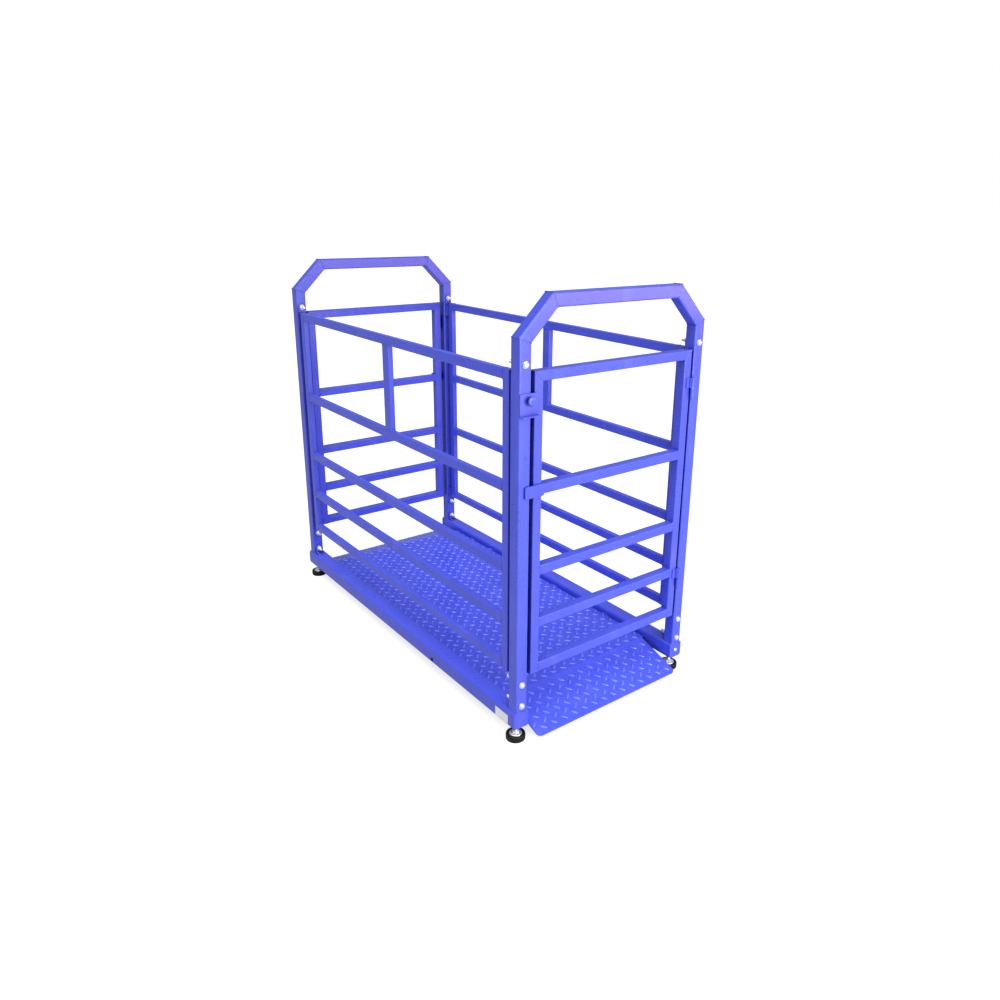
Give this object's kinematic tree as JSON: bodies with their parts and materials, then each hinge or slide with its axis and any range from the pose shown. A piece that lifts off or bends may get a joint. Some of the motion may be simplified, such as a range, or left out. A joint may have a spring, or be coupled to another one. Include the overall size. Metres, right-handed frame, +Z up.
{
  "type": "animal weighing scale",
  "caption": "Barred walk-through weighing scale for livestock: a treaded platform with sloped lips on load cells and levelling feet, caged by side panels, end hoops and hinged gates.",
  "frame": {"origin": "on the floor, under the middle of the platform", "axes": "+X across to the front gate's hinge side, +Y along the walkway from the front gate to the rear gate, +Z up"},
  "size_m": [0.741, 1.58, 1.344],
  "materials": {
    "blue_powder_coat": "gloss powder coat",
    "blue_tread_plate": "gloss powder coat over raised tread pattern",
    "zinc_plate": "bright zinc plate",
    "bare_steel": "machined, lightly oiled",
    "load_cell_alloy": "satin anodised",
    "black_rubber": "matte",
    "black_plastic": "fine grained",
    "white_label": "satin film, blank"
  },
  "bodies": {
    "base": {"beam_end_caps": "blue_powder_coat", "deck_plate": "blue_tread_plate", "front_cross_member": "blue_powder_coat", "front_hinge_pins": "bare_steel", "front_hinge_post_knuckles": "blue_powder_coat", "front_hoop": "blue_powder_coat", "front_lip": "blue_tread_plate", "front_middle_cross_member": "blue_powder_coat", "front_post_bolts": "zinc_plate", "junction_box": "blue_powder_coat", "junction_box_glands": "black_plastic", "junction_box_lid": "zinc_plate", "junction_box_screws": "zinc_plate", "label_plate": "white_label", "lead_grommet": "black_rubber", "left_beam": "blue_powder_coat", "left_panel_end_bars": "blue_powder_coat", "left_panel_lugs": "blue_powder_coat", "left_panel_rails": "blue_powder_coat", "left_panel_stub": "blue_powder_coat", "lip_ribs": "blue_powder_coat", "load_cell_bolts": "bare_steel", "load_cell_spacers": "bare_steel", "load_cells": "load_cell_alloy", "middle_cross_member": "blue_powder_coat", "post_foot_lugs": "blue_powder_coat", "post_nuts": "zinc_plate", "post_washers": "zinc_plate", "rear_cross_member": "blue_powder_coat", "rear_hinge_pins": "bare_steel", "rear_hinge_post_knuckles": "blue_powder_coat", "rear_hoop": "blue_powder_coat", "rear_lip": "blue_tread_plate", "rear_middle_cross_member": "blue_powder_coat", "rear_post_bolts": "zinc_plate", "right_beam": "blue_powder_coat", "right_panel_end_bars": "blue_powder_coat", "right_panel_lugs": "blue_powder_coat", "right_panel_rails": "blue_powder_coat", "right_panel_stub": "blue_powder_coat"},
    "front_gate": {"front_gate_frame": "blue_powder_coat", "front_gate_knuckles": "blue_powder_coat", "front_gate_rails": "blue_powder_coat", "front_gate_stop_tab": "blue_powder_coat", "front_latch_plate": "blue_powder_coat"},
    "front_latch": {"front_latch_bolt": "zinc_plate"},
    "front_left_foot": {"front_left_foot_pad": "black_rubber", "front_left_foot_stud": "zinc_plate"},
    "front_right_foot": {"front_right_foot_pad": "black_rubber", "front_right_foot_stud": "zinc_plate"},
    "rear_gate": {"rear_gate_frame": "blue_powder_coat", "rear_gate_knuckles": "blue_powder_coat", "rear_gate_rails": "blue_powder_coat", "rear_gate_stop_tab": "blue_powder_coat", "rear_latch_plate": "blue_powder_coat"},
    "rear_latch": {"rear_latch_bolt": "zinc_plate"},
    "rear_left_foot": {"rear_left_foot_pad": "black_rubber", "rear_left_foot_stud": "zinc_plate"},
    "rear_right_foot": {"rear_right_foot_pad": "black_rubber", "rear_right_foot_stud": "zinc_plate"}
  },
  "joints": [
    {"name": "front_gate_hinge", "type": "hinge", "parent": "base", "child": "front_gate", "pos_m": [0.316, -0.7565, 0.6945], "axis": [0, 0, 1], "range_deg": [0, 170]},
    {"name": "front_latch_slide", "type": "slide", "parent": "front_gate", "child": "front_latch", "axis": [0, 1, 0], "range_m": [0, 0.008]},
    {"name": "rear_gate_hinge", "type": "hinge", "parent": "base", "child": "rear_gate", "pos_m": [-0.316, 0.7565, 0.6945], "axis": [0, 0, 1], "range_deg": [0, 170]},
    {"name": "rear_latch_slide", "type": "slide", "parent": "rear_gate", "child": "rear_latch", "axis": [0, -1, 0], "range_m": [0, 0.008]},
    {"name": "front_left_foot_screw", "type": "slide", "parent": "base", "child": "front_left_foot", "axis": [0, 0, 1], "range_m": [-0.012, 0.008]},
    {"name": "front_right_foot_screw", "type": "slide", "parent": "base", "child": "front_right_foot", "axis": [0, 0, 1], "range_m": [-0.012, 0.008]},
    {"name": "rear_left_foot_screw", "type": "slide", "parent": "base", "child": "rear_left_foot", "axis": [0, 0, 1], "range_m": [-0.012, 0.008]},
    {"name": "rear_right_foot_screw", "type": "slide", "parent": "base", "child": "rear_right_foot", "axis": [0, 0, 1], "range_m": [-0.012, 0.008]}
  ]
}
